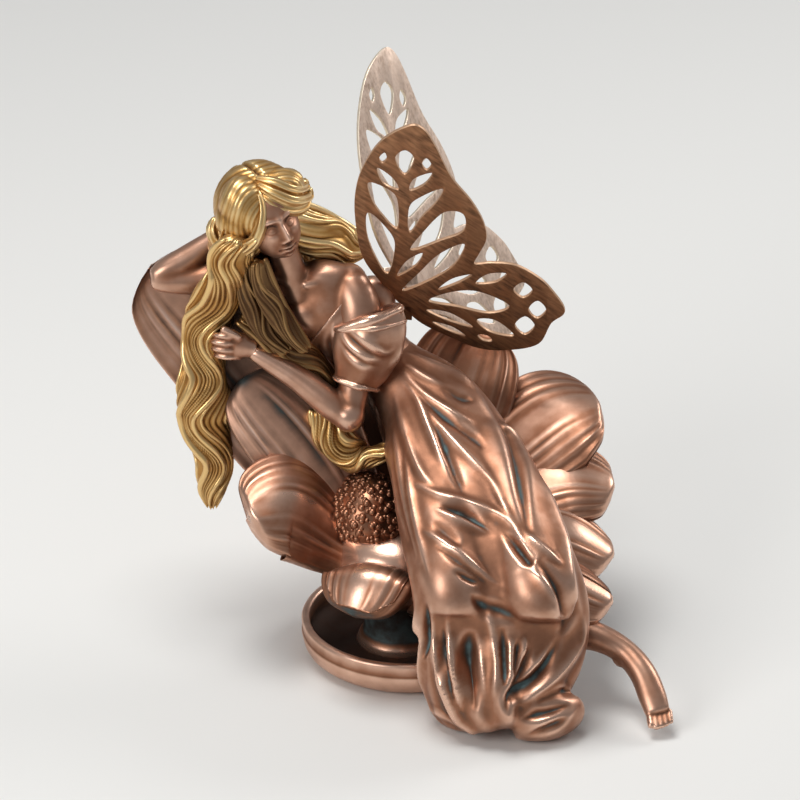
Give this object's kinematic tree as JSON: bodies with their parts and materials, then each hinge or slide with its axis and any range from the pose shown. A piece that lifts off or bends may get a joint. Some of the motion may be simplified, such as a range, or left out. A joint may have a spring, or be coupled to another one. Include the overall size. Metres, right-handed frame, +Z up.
{
  "type": "fairy figurine",
  "caption": "Fairy with long hair resting in an open flower above a round dish, with two pierced metal wings.",
  "frame": {"origin": "centre of the dish's flat underside", "axes": "+Z up, -Y towards the side that the fairy's knees and the dress hem point to, +X towards her feet"},
  "size_m": [0.1213, 0.1065, 0.128],
  "materials": {
    "antique_bronze": "bronze powder in resin, darkened in the folds with traces of green patina, worn bright on the high places",
    "gold_hair": "antique gold paint over the hair of the casting, dark between the strands",
    "wing_metal": "brushed antique brass, dark with paler worn edges"
  },
  "bodies": {
    "root": {"fairy_on_flower": "antique_bronze", "left_wing": "wing_metal", "right_wing": "wing_metal"}
  },
  "joints": []
}
